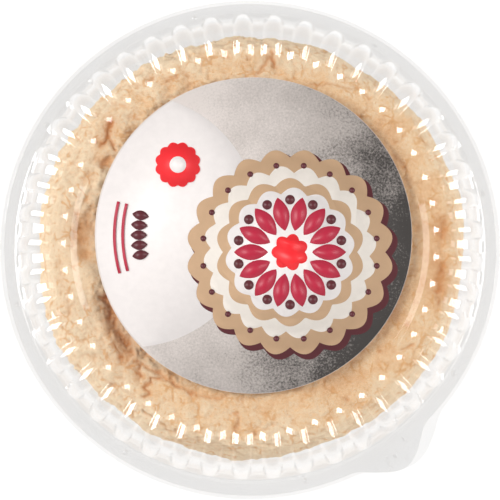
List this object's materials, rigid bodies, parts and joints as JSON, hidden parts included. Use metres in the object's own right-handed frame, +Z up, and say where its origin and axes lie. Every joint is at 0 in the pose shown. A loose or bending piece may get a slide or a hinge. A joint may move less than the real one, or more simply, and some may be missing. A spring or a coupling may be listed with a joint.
{
  "type": "packed pavlova base",
  "caption": "Plain round baked meringue base in a shut clear plastic pack: a ribbed domed lid with a round paper label, on a shallow tray, both with a pull tab.",
  "frame": {"origin": "middle of the pack's underside, under the middle of its round rim", "axes": "+Z up through the middle of the lid; the label's upright direction is +Y; the pull tabs point between +X and -Y"},
  "size_m": [0.2074, 0.2072, 0.041],
  "materials": {
    "clear_plastic": "gloss",
    "baked_meringue": "matte",
    "label_paper": "satin"
  },
  "bodies": {
    "root": {"tray": "clear_plastic", "pavlova": "baked_meringue", "lid": "clear_plastic", "label": "label_paper"}
  },
  "joints": []
}
